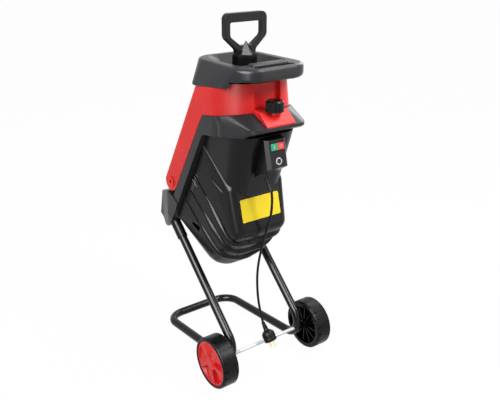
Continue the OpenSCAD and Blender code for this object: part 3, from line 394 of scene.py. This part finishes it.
cord_line = route([at(*p) for p in CORD_POINTS], CORD_STEPS)
cord_curve = bpy.data.curves.new("supply cord", "CURVE")
cord_curve.dimensions = "3D"
cord_curve.bevel_depth = CORD_DIAMETER / 2
cord_curve.bevel_resolution = 5
cord_curve.use_fill_caps = True
spline = cord_curve.splines.new("POLY")
spline.points.add(len(cord_line) - 1)
for point, place in zip(spline.points, cord_line):
    point.co = (*place, 1)
cord = bpy.data.objects.new("cord", cord_curve)
scene.collection.objects.link(cord)
stand_for(cord, "supply_cord")
cord_length = sum((b - a).length for a, b in zip(cord_line, cord_line[1:]))

# Strain relief: a tapered boot of rings on a thin core
RELIEF_TOP, RELIEF_END = at(0, 2, 515), at(0, -21, 480)
boot = [(5.2, 0)]
for k in range(6):
    low, ring = 2 + 6 * k, 5.6 - 0.22 * k
    boot += [(ring, low), (ring, low + 3.6), (4.4, low + 4.2), (4.4, low + 5.4)]
boot += [(4.3, 40), (3.8, 41.8)]
relief = stood(rounded(turned("relief", boot, 32), 0.35, 2), along(RELIEF_TOP, RELIEF_END))
stand_for(relief, "strain_relief")

# Plug: a thin neck with rings, a flared shoulder and a round body
PLUG_NECK, PLUG_FACE = at(-9, 0, 66), at(-2, -31, 16)
plug = turned("plug", [
    (4.2, 0), (5.6, 1), (5.6, 4.5), (4.8, 5.2), (4.8, 6.4), (6.2, 7.2), (6.2, 10.6), (5.4, 11.4),
    (5.4, 12.6), (7.0, 13.4), (7.0, 17), (6.4, 18), (7.6, 24), (11.8, 27), (16.2, 31),
    (18.6, 35), (19, 38), (19, 47), (18.2, 47.8), (18.2, 49.2), (19, 50), (19, 56.5), (17.6, 59.1),
    (12, 59.2),
], 64)
stood(rounded(plug, 0.5, 2), along(PLUG_NECK, PLUG_FACE))
stand_for(plug, "plug_body")

# Moulded pieces

CAP_POCKETS, POCKET_SWEEP = 5, 50
POCKET_IN, POCKET_OUT = 21.0, 56.2
FLOOR_IN, FLOOR_OUT = 8.0, 3.0
FLOOR_MIDDLE, FLOOR_FALL = 6.4, 10.0


def fan_pockets(cap):
    """Tilts each pocket's floor from one spoke of a hub cap down to the next, like a fan's blades."""
    back = min(abs(vertex.co.x) for vertex in cap.data.vertices)
    for vertex in cap.data.vertices:
        x, y, z = vertex.co
        y, z = 1000 * (y - AXLE.y), 1000 * (z - AXLE.z)
        out, height = hypot(y, z), 1000 * (abs(x) - back)
        floor_here = FLOOR_IN + (FLOOR_OUT - FLOOR_IN) * (out - POCKET_IN) / (POCKET_OUT - POCKET_IN)
        if POCKET_IN - 0.1 < out < POCKET_OUT + 0.1 and abs(height - floor_here) < 0.1:
            turn = (degrees(atan2(y, -z)) + 0.2) % (360 / CAP_POCKETS) / POCKET_SWEEP
            height = FLOOR_MIDDLE + (0.5 - turn) * FLOOR_FALL
            vertex.co.x = (back + height / 1000) * (1 if x > 0 else -1)


for node, name, edge in (
        ("hopper_shell", "hopper", 2.5), ("cutter_housing", "housing", 2.5), ("hopper_collar", "collar", 2.5),
        ("switch_box", "switch_housing", 1.6), ("switch_bezel", "bezel", 0.8), ("stand_tube", "stand", 0.3),
        ("plunger_handle", "handle", 1.2), ("plunger_stem", "stem", 0.8), ("lock_knob", "knob", 0.8),
        ("leg_sockets", "sockets", 0.6), ("on_button", "on_push", 1.2), ("off_button", "off_push", 1.2),
        ("reset_button", "reset_push", 0.8)):
    eased(node, name, edge)
cover = eased("motor_cover", "cover", 2.0)
for side in ("left", "right"):
    eased(side + "_tyre", side + "_tyre_form", 1.2)
    eased(side + "_wheel_core", side + "_core", 0.6)
    eased(side + "_hub_cap", side + "_cap", 0.6, 2, fan_pockets)

# Cover ridges, the lips of its slits and the slats of its louvres: beads sunk into the skin

BEAD_STEPS, BEAD_SMOOTHING, LEDGE = 4, 10, 0.2


def bead(name, points, thick, sunk, fade):
    """A moulded bead along the cover's skin, in millimetres; each end thins into the skin.

    fade is the part of the length that each end takes. Faces of ledges don't turn the bead.
    """
    line = route([at(*p) for p in points], BEAD_STEPS)
    found = [cover.closest_point_on_mesh(place)[1:3] for place in line]
    places = [place for place, _ in found]
    facing = [k for k, (_, normal) in enumerate(found) if normal.z < LEDGE] or [0]
    normals = [found[min(facing, key=lambda f: abs(f - k))][1] for k in range(len(found))]
    for _ in range(BEAD_SMOOTHING):
        middle = [(a + 2 * b + c) / 4 for a, b, c in zip(places, places[1:], places[2:])]
        places = [places[0], *middle, places[-1]]
        inner = [(a + b + c).normalized() for a, b, c in zip(normals, normals[1:], normals[2:])]
        normals = [inner[0], *inner, inner[-1]]
    curve = bpy.data.curves.new(name, "CURVE")
    curve.dimensions = "3D"
    curve.bevel_depth = thick / 1000
    curve.bevel_resolution = 4
    spline = curve.splines.new("POLY")
    spline.points.add(len(line) - 1)
    for k, (point, place, normal) in enumerate(zip(spline.points, places, normals)):
        point.co = (*(place - normal * sunk / 1000), 1)
        ends = min(1, min(k, len(line) - 1 - k) / (len(line) - 1) / fade)
        point.radius = (sunk + (thick - sunk) * sin(ends * pi / 2)) / thick
    piece = bpy.data.objects.new(name, curve)
    scene.collection.objects.link(piece)
    only(piece)
    bpy.ops.object.convert(target="MESH")
    bpy.ops.object.shade_smooth()
    return bpy.context.object


def on_side(points, side):
    """The points on their own side, 1, or on the other, -1."""
    return [(side * x, y, z) for x, y, z in points]


def across_nose(points):
    """The same points again on the other side, back to the rear."""
    return points + on_side(points[-2::-1], -1)


RIDGES = [
    [(-112, 141, 438), (-110, 125, 419), (-107, 109, 400), (-105, 93, 381), (-102, 77, 362), (-97, 64, 341),
     (-88, 53, 325), (-76, 43, 318), (-60, 38, 315), (-42, 38, 313), (-20, 41, 311), (0, 43, 309)],
    [(-110, 163, 399), (-108.5, 147, 383), (-107, 131, 366), (-104, 115, 349), (-99, 101, 331),
     (-92, 88, 314), (-82, 78, 299), (-66, 71, 288), (-46, 71, 281), (-23, 75, 274), (0, 79, 270)],
    [(-113, 178, 357), (-109, 166, 341), (-104, 156, 324), (-99, 144, 307), (-93, 131, 290),
     (-86, 118, 274), (-73, 105, 262), (-57, 99, 254), (-38, 99, 248), (-20, 102, 241), (0, 105, 236)],
]
SLIT_LIPS = [[(-112, 207, 482), (-110, 199, 475), (-109, 190, 467), (-108, 181, 459), (-107, 173, 452)],
             [(-104, 118, 500), (-103, 106, 492), (-101, 93, 484), (-99, 80, 476), (-97, 68, 468)]]
SEAM_Y, SEAM_Z, LEAN = 238, 439, radians(27)
SLAT_COUNT, SLAT_PITCH, SLAT_REACH, SLAT_ANGLE = 11, 9, 9, radians(42.8)
SLAT_TOP, SLAT_OUT, SLAT_X = 74.5, 31, -114


def slat(k):
    """The line of one slat between the louvres, beside the seam."""
    up = SLAT_TOP - k * SLAT_PITCH
    y = SEAM_Y - up * sin(LEAN) - SLAT_OUT * cos(LEAN)
    z = SEAM_Z + up * cos(LEAN) - SLAT_OUT * sin(LEAN)
    return [(SLAT_X, y + reach * cos(SLAT_ANGLE), z + reach * sin(SLAT_ANGLE))
            for reach in (-SLAT_REACH, 0, SLAT_REACH)]


beads = [bead("ridge", across_nose(points), 13.5, 6.8, 0.2) for points in RIDGES]
for side in (1, -1):
    beads += [bead("lip", on_side(points, side), 5.2, 2.0, 0.5) for points in SLIT_LIPS]
    beads += [bead("slat", on_side(slat(k), side), 2.2, 0.8, 0.3) for k in range(SLAT_COUNT)]
ridges = joined(*beads)
ridges.name = ridges.data.name = "ridges"
dress(ridges, "motor_cover", "cover_plastic")

# Grip rail: a crowned bar along the rail inside the collar

grip = stood(rounded(block("grip_bar", (112, 29, 12)), 5.2, 5), Matrix.Translation(at(0, -2, 817)))
dress(grip, "hopper_collar", "grey_plastic")

# Handle boss: a half-sunk pyramid over the handle's foot

bpy.ops.object.select_all(action="DESELECT")
bpy.ops.mesh.primitive_cone_add(vertices=4, radius1=0.026, radius2=0.0015, depth=0.034)
boss = stood(rounded(fresh("handle_boss"), 0.8, 2), Matrix.Translation(at(0, 94, 847)))
dress(boss, "plunger_handle", "black_plastic")

# Switch: raised marks on the buttons, and the reset's ring

SWITCH = Matrix.Translation(at(0, -46, 594)) @ Matrix.Rotation(radians(77.5), 4, "X")
BUTTON_X, BUTTON_Y, BUTTON_TOP = 10.7, 18.5, 3.0


def on_switch(x, y, z):
    return SWITCH @ Matrix.Translation(Vector((x, y, z)) / 1000)


on_bar = block("on_mark", (1.8, 8.5, 0.7))
on_mark = stood(rounded(on_bar, 0.3), on_switch(-BUTTON_X, BUTTON_Y, BUTTON_TOP))
off_ring = turned("off_mark", [(4.4, -0.3), (4.4, 0.35), (3.0, 0.35), (3.0, -0.3)], 40, True)
off_mark = stood(rounded(off_ring, 0.2, 2), on_switch(BUTTON_X, BUTTON_Y, BUTTON_TOP))
dress(on_mark, "on_button", "light_plastic")
dress(off_mark, "off_button", "light_plastic")
reset_ring = turned("reset_rim", [
    (10, -13), (10, 0.6), (9.4, 1.6), (7.6, 2.2), (6.8, 1.8), (6.3, 0.8), (6.3, -11.9), (9.2, -11.9),
], 48, True)
stand_for(stood(rounded(reset_ring, 0.25, 2), on_switch(0, -20, 0)), "reset_ring")

# Cover screws: pan heads with a cross recess, one on each side

SEAM = Matrix.Translation(at(0, SEAM_Y, SEAM_Z)) @ Matrix.Rotation(pi / 2 + LEAN, 4, "X")


def screw_seat(x):
    return SEAM @ Matrix.Translation(Vector((x, -70, 28)) / 1000)


screw = turned("screw", [(2.5, -10), (2.5, -0.2), (5.5, 0), (5.5, 2), (4.9, 3), (3.2, 3.5)], 32)
cut_cross(screw, 3.2, 1.2, 3.5, 1.6)
rounded(screw, 0.2, 2)
other_screw = copied(screw, "screw_right", screw_seat(103))
stood(screw, screw_seat(-103))
stand_for(joined(screw, other_screw), "cover_screws")

# Stage and light

FLOOR_WHITE, FILL_LIGHT = 0.975, 0.33


def backdrop_rays(tree):
    """1 for what the camera sees, straight or in gloss and glass, and 0 for the light on the object."""
    rays = tree.nodes.new("ShaderNodeLightPath")
    seen = rays.outputs["Is Camera Ray"]
    for kind in ("Is Glossy Ray", "Is Transmission Ray"):
        either = tree.nodes.new("ShaderNodeMath")
        either.operation = "MAXIMUM"
        tree.links.new(seen, either.inputs[0])
        tree.links.new(rays.outputs[kind], either.inputs[1])
        seen = either.outputs[0]
    return seen


bpy.ops.mesh.primitive_plane_add(size=30)
floor = bpy.context.object
floor.name = "floor"
backing = Finish("floor white")
backing.set(Base_Color=(0.9, 0.9, 0.9, 1), Roughness=0.9, Specular_IOR_Level=0.1)
glow = backing.tree.nodes.new("ShaderNodeEmission")
blend = backing.tree.nodes.new("ShaderNodeMixShader")
backing.feed(blend.inputs[0], Value(backing, backdrop_rays(backing.tree)) * FLOOR_WHITE)
backing.tree.links.new(backing.shader.outputs[0], blend.inputs[1])
backing.tree.links.new(glow.outputs[0], blend.inputs[2])
backing.tree.links.new(blend.outputs[0], backing.tree.nodes["Material Output"].inputs[0])
floor.data.materials.append(backing.material)

world = bpy.data.worlds.new("studio")
scene.world = world
world.use_nodes = True
tree = world.node_tree
strength = tree.nodes.new("ShaderNodeMapRange")
strength.inputs["To Min"].default_value = FILL_LIGHT
strength.inputs["To Max"].default_value = 1.0
tree.links.new(backdrop_rays(tree), strength.inputs[0])
tree.nodes["Background"].inputs[0].default_value = (1, 1, 1, 1)
tree.links.new(strength.outputs[0], tree.nodes["Background"].inputs[1])


def lamp(name, place, target, width, height, power, gloss_only=False):
    """A soft box; one that is for gloss only adds highlights and no light."""
    bpy.ops.object.light_add(type="AREA", location=place)
    light = bpy.context.object
    light.name = name
    light.data.shape = "RECTANGLE"
    light.data.size, light.data.size_y = width, height
    light.data.energy = power
    light.visible_diffuse = not gloss_only
    light.rotation_euler = (Vector(target) - Vector(place)).to_track_quat("-Z", "Y").to_euler()


MIDDLE = (0, 0, 0.55)
lamp("key", (0.9, -1.7, 2.2), MIDDLE, 0.7, 0.7, 42)
lamp("top", (0.9, -0.5, 2.4), MIDDLE, 0.9, 0.9, 28)
lamp("left", (-1.8, 0.2, 2.0), MIDDLE, 0.7, 0.7, 26)
lamp("left box", (-1.63, -0.93, 1.76), (-0.1, -0.05, 0.45), 1.7, 1.7, 190, True)
lamp("front box", (-1.57, -1.30, 0.74), (-0.05, -0.2, 0.7), 0.45, 1.2, 12, True)
lamp("right box", (1.65, 0.65, 1.65), (0.07, -0.19, 0.75), 0.9, 1.1, 14, True)
lamp("low box", (1.16, -1.66, 0.85), (0, -0.1, 0.9), 0.5, 1.0, 3, True)
